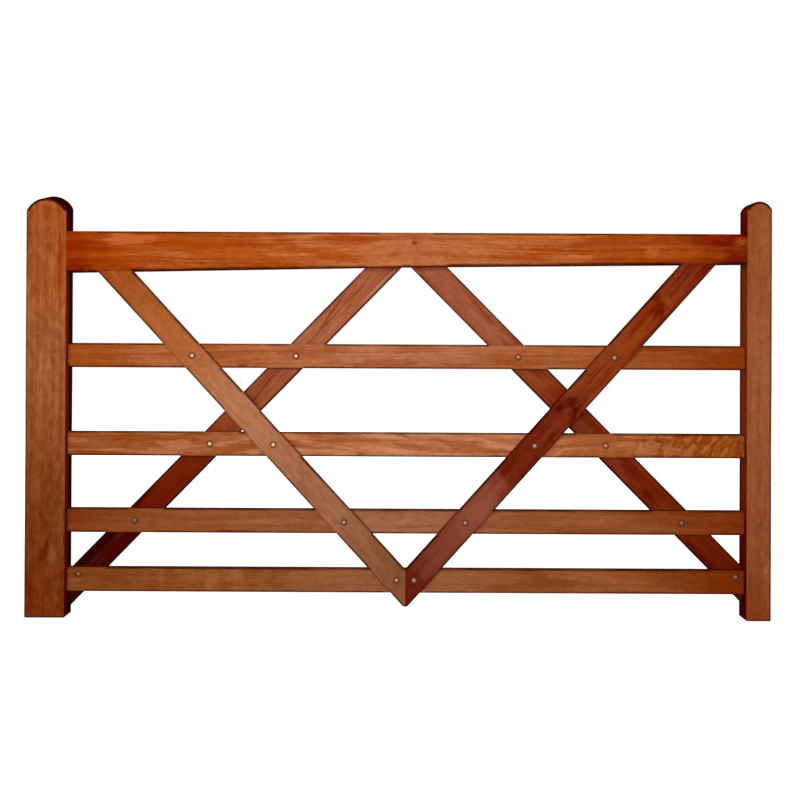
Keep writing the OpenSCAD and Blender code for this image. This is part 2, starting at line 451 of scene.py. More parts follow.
def grain_group():
    """Grain of a board whose X runs with the grain. Each result is a noise from 0 to 1 about 0.5."""
    kinds = (
        ("Streaks", 1.3, 75.0, 3.0),
        ("Flecks", 26.0, 260.0, 2.0),
        ("Mottle", 90.0, 170.0, 3.0),
        ("Fibres", 14.0, 700.0, 2.0),
        ("Pores", 60.0, 2200.0, 1.0),
        ("Clouds", 5.0, 26.0, 4.0),
        ("Blotches", 4.2, 19.0, 5.0),
        ("Bloom", 3.0, 14.0, 4.0),
        ("Wear", 7.0, 60.0, 2.0),
        ("Dapple", 30.0, 60.0, 3.0),
    )
    tree = bpy.data.node_groups.new("grain", "ShaderNodeTree")
    tree.interface.new_socket("Place", in_out="INPUT", socket_type="NodeSocketVector")
    tree.interface.new_socket("Seed", in_out="INPUT", socket_type="NodeSocketFloat")
    for name in ["Bands"] + [kind[0] for kind in kinds]:
        tree.interface.new_socket(name, in_out="OUTPUT", socket_type="NodeSocketFloat")
    n = Nodes(tree)
    given = n.add("NodeGroupInput").outputs
    result = n.add("NodeGroupOutput")
    shift = n.join(n.times(given["Seed"], 7.31), n.times(given["Seed"], 3.17), given["Seed"])

    def stretched(place, along, across):
        return n.vector("ADD", n.vector("MULTIPLY", place, (along, across, across)), shift)

    drift = n.minus(n.noise(stretched(given["Place"], 1.6, 3.0), detail=1.5), 0.5)
    ripple = n.minus(n.noise(stretched(given["Place"], 7.0, 9.0), detail=1.0), 0.5)
    bend = n.plus(n.times(drift, 0.03), n.times(ripple, 0.006))
    x, y, z = n.xyz(given["Place"])
    bent = n.join(x, n.plus(y, bend), n.plus(z, n.times(bend, 0.6)))

    # Growth rings round a pith outside the board: bands that depend on the distance from it
    pith = n.vector("ADD", bent, (0.0, 0.055, 0.09))
    radius = n.length(n.vector("MULTIPLY", pith, (0.0, 1.0, 1.0)))
    rings = n.join(n.times(x, 0.5), n.times(radius, 150.0), given["Seed"])
    n.feed(result, {"Bands": n.noise(rings, detail=2.5, roughness=0.6)})
    for name, along, across, detail in kinds:
        n.feed(result, {name: n.noise(stretched(bent, along, across), detail=detail, roughness=0.6)})
    return tree


GRAIN = grain_group()
# Painted shade along the arrises
EDGE_COLOUR = srgb(34, 6, 3)
END_COLOUR = srgb(48, 6, 6)
STREAK_TINT = (0.72, 0.52, 0.36, 1.0)
DAPPLE_TINT = (0.74, 0.58, 0.42, 1.0)
BOLT_STAIN = srgb(66, 18, 8)
STAIN_REACH = 5 * MM        # how far a stain spreads from a bolt's head
# Painted shade that dims the narrow faces
SIDE_SHADE = (0.62, 0.36, 0.26, 1.0)
OUTER_SIDE_SHADE = (0.95, 0.78, 0.66, 1.0)    # lighter painted shade of the stiles' outer faces
# Painted shade of a stile crown's eased front arris
CROWN_SHADE = srgb(60, 4, 5)
# Painted shade that darkens a stile's inner side towards the back
INNER_BACK_SHADE = (0.34, 0.12, 0.5, 1.0)


# How a timber looks unless its entry in LOOKS says otherwise. blotches, streaks, sheen and dapple are the
# strengths of dark blotches, long streaks, a painted pale sheen and soft spots, ragged the softness of the
# blotches' edges, edges the strength of the painted shade on the arrises, and side_tint the painted shade
# that dims the narrow faces. inner describes the painted shade on a stile's side inside the gate: 1 or -1
# for the side across the grain, its colours along the board, and the depths between which it darkens to the
# back. figure is a function that adds figure.
# Each entry has its own seed, the colour of its blotches (deep) and of its painted sheen (pale), and stops:
# places along the board, each with its colour and with a spread, which makes for more blotches and less
# sheen. The stops also hold painted light: a painted sheen that makes the boards paler towards the gate's
# middle, and painted shade that darkens them low down.
PLAIN_LOOK = dict(
    blotches=0.6, ragged=0.04, streaks=0.25, bloom=0.35, dapple=0.3, edges=0.8, side_tint=SIDE_SHADE,
    inner=None, figure=None, marks=(),
)


def new_material(name):
    """A material, short calls for its node tree, its shader, and each point's place on the piece."""
    material = bpy.data.materials.new(name)
    material.use_nodes = True
    n = Nodes(material.node_tree)
    shader = material.node_tree.nodes["Principled BSDF"]
    return material, n, shader, n.add("ShaderNodeTexCoord").outputs["Object"]


def add_bump(n, shader, height, strength, distance):
    bump = n.add("ShaderNodeBump", {"Height": height, "Strength": strength, "Distance": distance})
    n.feed(shader, {"Normal": bump.outputs[0]})


def timber_material(name, length, look, crossing, holes, crown):
    """Oiled hardwood. Its painted arris shade is lighter over the boards in crossing; the bolts in holes
    stain it.
    """
    material, n, shader, place = new_material(name)
    noise = n.add("ShaderNodeGroup", {"Place": place, "Seed": look["seed"]}, node_tree=GRAIN).outputs
    colour = board_colour(n, place, noise, length, look)
    if look["figure"]:
        colour = look["figure"](n, place, noise, colour)
    fine, pores = fine_grain(n, noise)
    colour = n.vector("SCALE", colour, scale=fine)
    dappled = n.between(noise["Dapple"], 0.38, 0.62, 0.0, look["dapple"])
    colour = n.tinted(colour, n.mix(dappled, (1.05, 1.05, 1.05, 1.0), DAPPLE_TINT))
    for mark in look["marks"]:
        colour = add_mark(n, place, colour, *mark)
    for hole in holes:
        away = n.length(n.vector("MULTIPLY", n.vector("SUBTRACT", place, tuple(hole)), (1.0, 1.0, 0.0)))
        colour = n.mix(n.between(away, HEAD_R + STAIN_REACH, HEAD_R, 0.0, 0.4), colour, BOLT_STAIN)

    # Painted shade darkens the arrises and the narrow faces, and the finish lies darkest on end grain
    colour = n.mix(dark_arrises(n, noise, look["edges"], crossing), colour, EDGE_COLOUR)
    # Painted shade round the stile's crown
    if crown:
        colour = n.mix(crown_shade(n, place, *crown), colour, CROWN_SHADE)
    facing = [n.add("ShaderNodeNewGeometry").outputs["Normal"]]
    spaces = dict(vector_type="NORMAL", convert_from="WORLD", convert_to="OBJECT")
    to_end, to_side, to_front = n.xyz(n.add("ShaderNodeVectorTransform", facing, **spaces).outputs[0])
    # Painted shade on the narrow faces, and on a stile's inner side its own painted shade
    side = n.tinted(colour, look["side_tint"])
    if look["inner"]:
        way, stops, near, far = look["inner"]
        is_inner = n.between(n.times(to_side, float(way)), 0.2, 0.6)
        side = n.mix(is_inner, side, shaded_inner_side(n, place, length, fine, stops, near, far))
    colour = n.mix(n.between(n.math("ABSOLUTE", to_front), 0.35, 0.85, 1.0, 0.0), colour, side)
    colour = n.mix(n.between(n.math("ABSOLUTE", to_end), 0.3, 0.8, 0.0, 0.8), colour, END_COLOUR)

    rough = n.plus(n.between(noise["Fibres"], 0.2, 0.8, 0.5, 0.64), n.times(pores, 0.12))
    n.feed(shader, {"Base Color": colour, "Roughness": rough, "Specular IOR Level": 0.0})
    relief = n.plus(n.times(noise["Fibres"], 0.5), n.times(noise["Bands"], 0.6))
    add_bump(n, shader, n.minus(relief, pores), 0.25, 0.3 * MM)
    return material


def board_colour(n, place, noise, length, look):
    """The stops along the board, with a painted pale sheen, dark blotches that have ragged edges, and long
    streaks.
    """
    wobble = n.times(n.minus(noise["Clouds"], 0.5), 0.2)
    along = n.between(n.plus(n.xyz(place)[0], wobble), -length / 2, length / 2, smooth=False)
    colour, spread = n.ramp(along, look["stops"])
    # Painted sheen: pale patches, fewer where the spread is high
    bloom = n.between(noise["Bloom"], 0.48, 0.6, 0.0, look["bloom"])
    colour = n.mix(n.times(bloom, n.between(spread, 0.5, 0.9, 1.0, 0.2)), colour, srgb(*look["pale"]))
    level = n.plus(n.times(noise["Blotches"], 0.7), n.times(noise["Streaks"], 0.3))
    level = n.plus(level, n.times(n.minus(spread, 0.5), 0.3))
    blotched = n.between(level, 0.5 - look["ragged"], 0.5 + look["ragged"], 0.0, look["blotches"])
    colour = n.mix(blotched, colour, n.mix(1.0, colour, srgb(*look["deep"]), blend="DARKEN"))
    lines = n.highest(n.between(noise["Bands"], 0.48, 0.68), n.between(noise["Streaks"], 0.48, 0.62))
    return n.mix(n.times(lines, look["streaks"]), colour, n.tinted(colour, STREAK_TINT))


def fine_grain(n, noise):
    """What flecks, fibres and pores multiply the colour by, and the pores alone."""
    flecks = n.between(noise["Flecks"], 0.35, 0.7, 1.03, 0.93)
    mottle = n.between(noise["Mottle"], 0.3, 0.7, 0.92, 1.08)
    fibre = n.between(noise["Fibres"], 0.3, 0.7, 0.94, 1.05)
    pores = n.between(noise["Pores"], 0.6, 0.74)
    fine = n.times(n.times(flecks, mottle), fibre)
    return n.times(fine, n.between(pores, 0.0, 1.0, 1.0, 0.76)), pores


def dark_arrises(n, noise, strength, crossing):
    # Painted shade along the arrises, its strength varied by a noise and lessened where boards cross
    edge = n.add("ShaderNodeAttribute", attribute_name="edge", attribute_type="GEOMETRY").outputs["Fac"]
    dark = n.times(edge, n.between(noise["Wear"], 0.35, 0.6, 0.6 * strength, strength))
    if crossing:
        dark = n.times(dark, n.minus(1.0, n.times(over_boards(n, crossing), 0.8)))
    return dark


def crown_shade(n, place, centre, slope, radius, spring):
    """The painted shade of a rounded top's eased front arris, as a dark rim on the board's face.

    It has a centre, which falls by slope per metre to the front, a radius, and springs at a height over the
    centre.
    """
    x, y, z = n.xyz(place)
    above = n.minus(n.plus(x, n.times(z, slope)), centre)
    reach = n.length(n.join(above, y, 0.0))
    rim = n.between(reach, radius - 9 * MM, radius - 5.5 * MM)
    return n.times(rim, n.between(above, spring - 3 * MM, spring + 3 * MM, 0.0, 0.9))


# The painted shade of a stile's inner side: colours along the board, darker towards the back
def shaded_inner_side(n, place, length, fine, stops, near, far):
    x, _, z = n.xyz(place)
    painted = n.ramp(n.between(x, -length / 2, length / 2, smooth=False), stops)[0]
    painted = n.mix(n.between(z, near, far), painted, n.tinted(painted, INNER_BACK_SHADE))
    return n.vector("SCALE", painted, scale=fine)


def over_boards(n, crossing):
    """1 in front of or behind one of the other boards, each an object and half its width, and 0 elsewhere."""
    place = n.add("ShaderNodeNewGeometry").outputs["Position"]
    result = None
    for board_piece, half_width in crossing:
        across = board_piece.matrix_world.col[1].xyz
        offset = n.vector("DOT_PRODUCT", place, tuple(across))
        away = n.math("ABSOLUTE", n.minus(offset, across.dot(board_piece.matrix_world.translation)))
        near = n.between(away, half_width + 2 * MM, half_width - 3 * MM)
        result = near if result is None else n.highest(result, near)
    return result


def add_mark(n, place, colour, along, across, length, width, shade, strength, soft=0.5, turn=0.0):
    """A knot, patch or stain: a wavy ellipse of half a length and width about a point of the board's face.

    soft is the share of it over which it fades, and turn how far it is turned, in degrees.
    """
    x, y, z = n.xyz(n.vector("SUBTRACT", place, (along, across, 0.0)))
    c, s = math.cos(math.radians(turn)), math.sin(math.radians(turn))
    u = n.plus(n.times(x, c / length), n.times(y, s / length))
    v = n.minus(n.times(y, c / width), n.times(x, s / width))
    wave = n.noise_vector(n.join(u, v, n.times(z, 20.0)), 1.3)
    reach = n.length(n.vector("ADD", n.join(u, v, 0.0), n.vector("MULTIPLY", wave, (1.6, 1.6, 0.0))))
    return n.mix(n.between(reach, 1.0 + soft / 2, 1.0 - soft, 0.0, strength), colour, srgb(*shade))


# ---------------- timbers

FRONT_Y, BACK_Y = CAD_BOX[0][1], CAD_BOX[1][1]
HANGING_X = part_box("hanging_stile")[1].x        # the stiles' inner sides
SLAMMING_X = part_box("slamming_stile")[0].x
THIN_RAILS = ["bottom_rail", "lower_rail", "middle_rail", "upper_rail"]
PEGS = [name for name in sorted(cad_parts) if "_peg_" in name]
CROWN_STEPS = 28
bolt_places = {}            # the centres of the bolt holes in each rail and brace, as (x, z)
crowns = {}                 # each stile's rounded top, as timber_material takes it


def crown_arc(node, y):
    """The arc at a stile's top on the plane y: the height of its top, its rise and its radius."""
    low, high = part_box(node)
    points = plane_points(node, y)
    top = max(p.y for p in points)
    spring = max(p.y for p in points if abs(p.x - low.x) < SAME)
    half, rise = (high.x - low.x) / 2, top - spring
    return top, rise, (half * half + rise * rise) / (2 * rise)


def stile_outline(node, y):
    """The outline of a stile on the plane y: square at its foot, an arc at its top."""
    low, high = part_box(node)
    top, _, radius = crown_arc(node, y)
    half = (high.x - low.x) / 2
    reach = math.asin(half / radius)
    outline = [Vector((low.x, low.z)), Vector((high.x, low.z))]
    for i in range(CROWN_STEPS + 1):
        turn = reach * (1 - 2 * i / CROWN_STEPS)
        from_centre = Vector((math.sin(turn), math.cos(turn))) * radius
        outline.append(Vector((low.x + half, top - radius)) + from_centre)
    return outline


def make_stile(node):
    low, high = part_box(node)
    front, back = stile_outline(node, FRONT_Y), stile_outline(node, BACK_Y)
    inner_x = HANGING_X if node == "hanging_stile" else SLAMMING_X
    is_inner = upright_at(inner_x)
    bm = board(front, back, FRONT_Y, BACK_Y, lambda a, b: PALE_ARRIS if is_inner(a, b) else 1.0)
    piece = new_object("timber_" + node, mesh_of(bm, node))
    inward = -1 if node == "hanging_stile" else 1
    x0, x1 = sorted((inner_x - inward * STUB, inner_x + inward * (STUB + CLEARANCE)))
    cutters = []
    for rail in THIN_RAILS:
        a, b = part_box(rail)
        corner = (x0, a.y - CLEARANCE, a.z - CLEARANCE)
        cutters.append(box_cutter(corner, (x1, b.y + CLEARANCE, b.z + CLEARANCE)))
    for peg in PEGS:
        if peg.startswith(node.split("_")[0]):
            a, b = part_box(peg)
            radius = (b.x - a.x) / 2 + CLEARANCE
            for y0, y1 in ((FRONT_Y - STUB, FRONT_Y + STUB / 2), (BACK_Y - STUB / 2, BACK_Y + STUB)):
                cutters.append(hole_cutter((a.x + b.x) / 2, (a.z + b.z) / 2, [(radius, y0, y1)]))
    cut_from(piece, cutters)
    x = (low.x + high.x) / 2
    along_grain(piece, Vector((x, 0, low.z)), Vector((x, 0, high.z)))
    top, rise, radius = crown_arc(node, FRONT_Y)
    back_top = crown_arc(node, BACK_Y)[0]
    centre = (top + back_top) / 2 - radius - (low.z + high.z) / 2
    crowns[node] = (centre, (back_top - top) / (BACK_Y - FRONT_Y), radius, radius - rise)
    return piece


def upright_at(*places):
    """A test for the edges of an outline that stand on one of the lines x."""
    return lambda a, b: any(abs(a.x - x) < SAME and abs(b.x - x) < SAME for x in places)


def square_at(*places):
    """The darkness of a board's arrises: none on the square joints that stand on one of the lines x."""
    is_upright = upright_at(*places)
    return lambda a, b: None if is_upright(a, b) else 1.0


def lay_between_stiles(piece, node):
    low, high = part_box(node)
    z = (low.z + high.z) / 2
    along_grain(piece, Vector((HANGING_X, 0, z)), Vector((SLAMMING_X, 0, z)))


def cut_bolt_holes(piece, node, steps):
    cut_from(piece, [hole_cutter(p.x, p.y, steps) for p in bolt_places[node]])


def make_top_rail(node):
    points = [p for p in plane_points(node, FRONT_Y) if HANGING_X - SAME < p.x < SLAMMING_X + SAME]
    centre = sum(points, Vector((0, 0))) / len(points)
    outline = sorted(points, key=lambda p: math.atan2(p.y - centre.y, p.x - centre.x))
    bm = board(outline, outline, FRONT_Y, BACK_Y, square_at(HANGING_X, SLAMMING_X))
    piece = new_object("timber_" + node, mesh_of(bm, node))
    lay_between_stiles(piece, node)
    return piece


def bolt_holes_of(node):
    """Centres of a thin rail's bolt holes."""
    low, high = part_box(node)
    points = [p for p in plane_points(node, low.y) if HANGING_X < p.x < SLAMMING_X]
    return hole_centres([p for p in points if low.z + SAME < p.y < high.z - SAME])


def make_thin_rail(node):
    low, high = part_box(node)
    x0, x1 = HANGING_X - STUB, SLAMMING_X + STUB
    outline = [Vector((x0, low.z)), Vector((x1, low.z)), Vector((x1, high.z)), Vector((x0, high.z))]
    bm = board(outline, outline, low.y, high.y, square_at(x0, x1))
    piece = new_object("timber_" + node, mesh_of(bm, node))
    bolt_places[node] = bolt_holes_of(node)
    cut_bolt_holes(piece, node, [(BOLT_HOLE_R, low.y - STUB, high.y + STUB)])
    lay_between_stiles(piece, node)
    return piece


def make_brace(node):
    low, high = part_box(node)
    is_front = node.startswith("front")
    outer_y = low.y if is_front else high.y
    outline, bolt_places[node] = outline_and_holes(node, outer_y)
    head_z = max(p.y for p in outline) - ARRIS
    is_upright = upright_at(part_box("front_brace_hanging")[1].x, HANGING_X, SLAMMING_X)
    bm = board(
        outline, outline, low.y, high.y,
        lambda a, b: None if is_upright(a, b) or min(a.y, b.y) > head_z else 1.0,
    )
    piece = new_object("timber_" + node, mesh_of(bm, node))
    if is_front:
        steps = [(BOLT_HOLE_R, low.y - STUB, high.y + STUB)]
    else:
        floor_y = recess_floor(node, high.y)
        steps = [(BOLT_HOLE_R, low.y - STUB, floor_y), (RECESS_R, floor_y, high.y + STUB)]
    cut_bolt_holes(piece, node, steps)
    sides = sorted(edges_of(outline), key=lambda e: (e[1] - e[0]).length)[-2:]
    grain = (sides[0][1] - sides[0][0]).normalized()
    if grain.y < 0:
        grain = -grain
    centre = sum(((a + b) / 2 for a, b in sides), Vector((0, 0))) / 2
    reach = [(p - centre).dot(grain) for p in outline]
    start, end = centre + grain * min(reach), centre + grain * max(reach)
    along_grain(piece, Vector((start.x, 0, start.y)), Vector((end.x, 0, end.y)))
    return piece


def recess_floor(node, back):
    """The y of the floor of the nuts' recesses in a rear brace."""
    levels = {round(vertex.co.y, 5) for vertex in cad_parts[node].data.vertices}
    return max(y for y in levels if back - RECESS_LIMIT < y < back - SAME)


# ---------------- materials of the timbers

def shaded(n, colour, noise, low, high, where, shade):
    """A colour with a shade over it where the noise goes from low to high."""
    return n.mix(n.times(where, n.between(noise, low, high)), colour, srgb(*shade))


def ribbons_and_flames(n, place, noise, colour):
    """Ribbon figure that runs at a slight slant along a rail's middle, and flames across its slamming end."""
    x, y, _ = n.xyz(place)
    from_middle = n.math("ABSOLUTE", x)
    lie = n.between(from_middle, 0.6, 0.3, 0.02, 0.13)
    slant = n.plus(n.plus(y, n.times(x, lie)), n.times(noise["Bloom"], 0.09))
    ribbon = n.noise(n.join(n.times(x, 5.0), n.times(slant, 52.0), 3.0))
    where = n.between(from_middle, 0.5, 0.25, 0.4, 0.65)
    colour = shaded(n, colour, ribbon, 0.5, 0.62, where, (205, 136, 98))
    colour = shaded(n, colour, ribbon, 0.48, 0.36, where, (150, 76, 22))
    lean = n.minus(n.times(x, 0.87), n.times(y, 0.5))
    flame = n.noise(n.join(n.times(lean, 60.0), n.times(y, 26.0), 8.0), distortion=0.8)
    where = n.between(x, 0.5, 0.8, 0.0, 0.75)
    colour = shaded(n, colour, flame, 0.48, 0.62, where, (178, 100, 46))
    return shaded(n, colour, flame, 0.48, 0.36, where, (134, 58, 6))


def bars(n, place, noise, colour):
    """Soft pale and dark bars that stand across a rail near its hanging end."""
    x, y, _ = n.xyz(place)
    bar = n.noise(n.join(n.times(x, 26.0), n.times(y, 4.0), 5.0), detail=1.5)
    where = n.between(n.math("ABSOLUTE", n.plus(x, 0.55)), 0.24, 0.12, 0.0, 0.55)
    colour = shaded(n, colour, bar, 0.5, 0.66, where, (152, 94, 54))
    return shaded(n, colour, bar, 0.5, 0.36, where, (132, 66, 16))


# A mark is a place along and across the grain, half a length and a width, a colour and a strength, and
# perhaps how soft it is and how far it is turned, as add_mark takes them.
# The stops hold painted light: paler towards the gate's middle, a painted sheen, and darker low down, painted
# shade.
LOOKS = {
    "hanging_stile": dict(
        seed=3.0, edges=0.65, blotches=0.5, ragged=0.08, streaks=0.35, bloom=0.35, dapple=0.6,
        side_tint=OUTER_SIDE_SHADE,
        # inner: painted shade on the side inside the gate, darker towards the back
        inner=(-1, [(0, (104, 0, 4)), (0.06, (124, 13, 16)), (0.17, (135, 36, 13)), (0.35, (137, 48, 4)),
                    (0.6, (153, 54, 4)), (0.82, (162, 54, 4)), (0.9, (128, 14, 8)), (1, (108, 8, 8))],
               0.022, -0.012),
        stops=[(0, (118, 52, 18), 0.6), (0.25, (122, 60, 23), 0.5), (0.42, (145, 80, 40), 0.4),
               (0.6, (163, 97, 59), 0.35), (0.8, (168, 94, 48), 0.5), (1, (170, 90, 40), 0.6)],
        deep=(138, 62, 16), pale=(174, 106, 66),
        marks=[(-0.315, 0.014, 0.006, 0.004, (74, 30, 12), 0.6),
               (-0.57, 0.04, 0.03, 0.012, (112, 30, 2), 0.6),
               (-0.525, 0.044, 0.035, 0.011, (104, 24, 2), 0.75, 0.7),
               (-0.42, 0.004, 0.055, 0.011, (92, 30, 2), 0.85, 0.8, -24),
               (-0.38, 0.042, 0.026, 0.01, (98, 36, 4), 0.7, 0.9),
               (-0.43, -0.022, 0.03, 0.012, (140, 84, 50), 0.7, 0.9),
               (0.385, -0.038, 0.13, 0.005, (146, 54, 2), 0.85, 0.7),
               (0.43, -0.039, 0.055, 0.008, (140, 50, 0), 0.8, 0.7)]),
    "slamming_stile": dict(
        seed=9.0, edges=0.7, blotches=0.3, ragged=0.1, streaks=0.22, bloom=0.2, dapple=0.35,
        side_tint=OUTER_SIDE_SHADE,
        # inner: painted shade on the side inside the gate, darker towards the back
        inner=(1, [(0, (81, 0, 0)), (0.06, (88, 5, 4)), (0.17, (102, 17, 0)), (0.33, (125, 42, 7)),
                   (0.5, (142, 50, 9)), (0.84, (143, 52, 5)), (0.9, (111, 5, 0)), (1, (114, 22, 11))],
               -0.005, -0.03),
        stops=[(0, (131, 63, 30), 0.6), (0.25, (147, 81, 48), 0.5), (0.6, (155, 91, 55), 0.4),
               (1, (154, 84, 40), 0.5)],
        deep=(130, 66, 32), pale=(168, 100, 62),
        marks=[(-0.455, -0.02, 0.013, 0.006, (172, 116, 84), 0.6, 0.9),
               (-0.56, 0.02, 0.04, 0.012, (138, 50, 14), 0.5, 0.9)]),
    "top_rail": dict(
        seed=5.0, blotches=0.75, ragged=0.05, streaks=0.7, bloom=0.45, dapple=0.4,
        side_tint=(0.8, 0.42, 0.3, 1.0),
        stops=[(0, (144, 46, 2), 0.75), (0.08, (162, 68, 10), 0.65), (0.25, (186, 104, 50), 0.6),
               (0.4, (190, 108, 58), 0.4), (0.52, (182, 106, 64), 0.1), (0.68, (190, 110, 54), 0.35),
               (0.85, (168, 76, 12), 0.55), (0.95, (138, 40, 6), 0.8), (1, (112, 20, 2), 0.85)],
        deep=(166, 72, 8), pale=(194, 116, 72),
        marks=[(-0.95, 0.02, 0.03, 0.022, (140, 34, 0), 0.7),
               (-0.945, -0.045, 0.04, 0.012, (120, 22, 0), 0.8),
               (-0.8, 0.036, 0.08, 0.016, (186, 98, 46), 0.8, 0.3),
               (-0.62, 0.018, 0.1, 0.016, (160, 66, 2), 0.7, 0.4),
               (-0.3, 0.008, 0.1, 0.011, (160, 66, 4), 0.8, 0.5),
               (-0.22, -0.012, 0.07, 0.009, (166, 72, 10), 0.7, 0.4),
               (0.022, 0.029, 0.01, 0.0075, (140, 62, 32), 0.9),
               (0.022, 0.03, 0.004, 0.003, (84, 26, 10), 0.8),
               (0.7, 0.006, 0.022, 0.016, (186, 100, 44), 0.6), (0.9, 0.03, 0.05, 0.01, (116, 14, 0), 0.8),
               (0.945, -0.01, 0.04, 0.014, (108, 12, 0), 0.75),
               (0.955, 0.036, 0.022, 0.012, (164, 80, 26), 0.7, 0.8)]),
    "upper_rail": dict(
        seed=14.0, streaks=0.4, bloom=0.2,
        stops=[(0, (155, 77, 25), 0.6), (0.17, (170, 98, 54), 0.4), (0.5, (181, 113, 80), 0.35),
               (0.75, (164, 92, 48), 0.5), (1, (138, 58, 10), 0.6)],
        deep=(156, 76, 26), pale=(188, 120, 88),
        marks=[(-0.47, -0.028, 0.02, 0.006, (122, 40, 8), 0.7),
               (-0.3, -0.006, 0.12, 0.004, (160, 84, 44), 0.6),
               (0.74, 0.024, 0.1, 0.006, (124, 44, 4), 0.7)]),
    "middle_rail": dict(
        seed=21.0, figure=ribbons_and_flames, streaks=0.4, blotches=0.35, ragged=0.07, bloom=0.25,
        stops=[(0, (130, 60, 12), 0.6), (0.12, (152, 84, 38), 0.5), (0.3, (164, 96, 58), 0.5),
               (0.54, (186, 120, 86), 0.3), (0.75, (170, 102, 60), 0.4), (0.9, (144, 72, 20), 0.5),
               (1, (134, 66, 22), 0.5)],
        deep=(140, 68, 18), pale=(192, 126, 90),
        marks=[(0.8, 0.03, 0.05, 0.006, (126, 34, 2), 0.7)]),
    "lower_rail": dict(
        seed=27.0, streaks=0.35, bloom=0.15, blotches=0.4, ragged=0.08,
        stops=[(0, (124, 53, 13), 0.6), (0.2, (148, 86, 48), 0.5), (0.5, (160, 103, 75), 0.35),
               (0.75, (150, 86, 46), 0.5), (1, (125, 53, 11), 0.6)],
        deep=(128, 64, 22), pale=(170, 113, 84),
        marks=[(-0.5, -0.029, 0.06, 0.004, (120, 40, 14), 0.8)]),
    "bottom_rail": dict(
        seed=33.0, figure=bars, streaks=0.2,
        stops=[(0, (127, 68, 29), 0.5), (0.2, (142, 82, 42), 0.5), (0.5, (148, 92, 60), 0.3),
               (0.8, (145, 80, 38), 0.5), (1, (122, 45, 5), 0.6)],
        deep=(122, 62, 22), pale=(162, 100, 66),
        marks=[(0.4, 0.0, 0.06, 0.018, (128, 64, 22), 0.6, 0.8),
               (0.9, 0.0, 0.06, 0.03, (118, 46, 4), 0.5, 0.8)]),
    "front_brace_hanging": dict(
        seed=39.0, streaks=0.15, blotches=0.4, ragged=0.07,
        stops=[(0, (130, 80, 50), 0.6), (0.3, (155, 102, 75), 0.4), (0.55, (176, 116, 82), 0.35),
               (0.8, (168, 95, 48), 0.4), (1, (158, 75, 24), 0.6)],
        deep=(146, 84, 44), pale=(184, 126, 94)),
    "front_brace_slamming": dict(
        seed=45.0, blotches=0.6, ragged=0.06, streaks=0.3,
        stops=[(0, (96, 36, 20), 0.5), (0.12, (112, 50, 32), 0.5), (0.25, (126, 60, 40), 0.4),
               (0.31, (128, 56, 34), 0.4), (0.36, (118, 40, 16), 0.5), (0.5, (116, 36, 12), 0.5),
               (0.6, (136, 54, 16), 0.3), (0.76, (144, 60, 14), 0.3), (1, (120, 32, 4), 0.6)],
        deep=(98, 18, 3), pale=(140, 72, 44),
        # The first two marks are a painted sheen on the lower end.
        marks=[(-0.395, 0.12, 0.21, 0.21, (142, 76, 56), 0.3, 0.1),
               (-0.32, 0.0, 0.1, 0.05, (152, 88, 70), 0.35, 0.9),
               (0.0, -0.018, 0.1, 0.008, (92, 12, 0), 0.6),
               (0.064, -0.002, 0.042, 0.032, (78, 6, 4), 0.85, 0.4),
               (0.03, -0.006, 0.045, 0.022, (120, 44, 22), 0.9, 0.5),
               (0.4, -0.03, 0.16, 0.006, (96, 10, 4), 0.6),
               (0.45, -0.004, 0.03, 0.02, (104, 8, 4), 0.85, 0.7),
               (0.475, 0.026, 0.016, 0.01, (104, 12, 4), 0.7),
               (0.488, -0.002, 0.013, 0.016, (152, 68, 20), 0.7, 0.7)]),
    # Its stops and its first two marks darken it towards the foot: painted shade where it lies behind the
    # rails.
    "rear_brace_hanging": dict(
        seed=51.0, blotches=0.5, ragged=0.05, streaks=0.4,
        stops=[(0, (50, 2, 2), 1.0), (0.2, (70, 6, 3), 1.0), (0.27, (104, 26, 6), 0.9),
               (0.4, (116, 34, 8), 0.8), (0.54, (150, 76, 42), 0.4), (0.8, (168, 98, 66), 0.3),
               (1, (166, 93, 60), 0.4)],
        deep=(112, 36, 10), pale=(184, 116, 86),
        marks=[(-0.5, 0.022, 0.12, 0.014, (40, 2, 3), 0.9, 0.6), (-0.36, 0.03, 0.1, 0.008, (60, 4, 0), 0.8),
               (0.16, 0.004, 0.08, 0.003, (116, 42, 14), 0.8, 0.6, 6),
               (0.45, 0.016, 0.08, 0.004, (128, 48, 20), 0.8, 0.7, 9),
               (0.56, 0.004, 0.07, 0.003, (136, 58, 28), 0.7, 0.7, 8),
               (0.61, -0.028, 0.07, 0.004, (196, 152, 130), 0.5, 0.9),
               (0.66, 0.008, 0.03, 0.006, (176, 112, 84), 0.5, 0.9)]),
    # Its stops darken it towards the foot: painted shade where it lies behind the rails.
    "rear_brace_slamming": dict(
        seed=57.0, blotches=0.5, ragged=0.05, streaks=0.3,
        stops=[(0, (95, 25, 4), 1.0), (0.2, (120, 42, 8), 0.8), (0.36, (126, 44, 10), 0.6),
               (0.55, (122, 42, 10), 0.6), (0.65, (146, 66, 32), 0.4), (0.78, (158, 84, 56), 0.3),
               (1, (162, 88, 60), 0.3)],
        deep=(100, 22, 4), pale=(170, 100, 70),
        marks=[(-0.5, 0.026, 0.08, 0.01, (70, 8, 2), 0.7),
               (-0.27, 0.012, 0.03, 0.012, (88, 14, 0), 0.7, 0.8),
               (-0.18, 0.0, 0.04, 0.016, (90, 16, 2), 0.7, 0.8)]),
}

MAKERS = {"hanging_stile": make_stile, "slamming_stile": make_stile, "top_rail": make_top_rail}
timbers = {}
for node in LOOKS:
    maker = MAKERS.get(node) or (make_thin_rail if node.endswith("_rail") else make_brace)
    timbers[node] = maker(node)
    finish_mesh(timbers[node])


def half_width(piece):
    return max(vertex.co.y for vertex in piece.data.vertices)


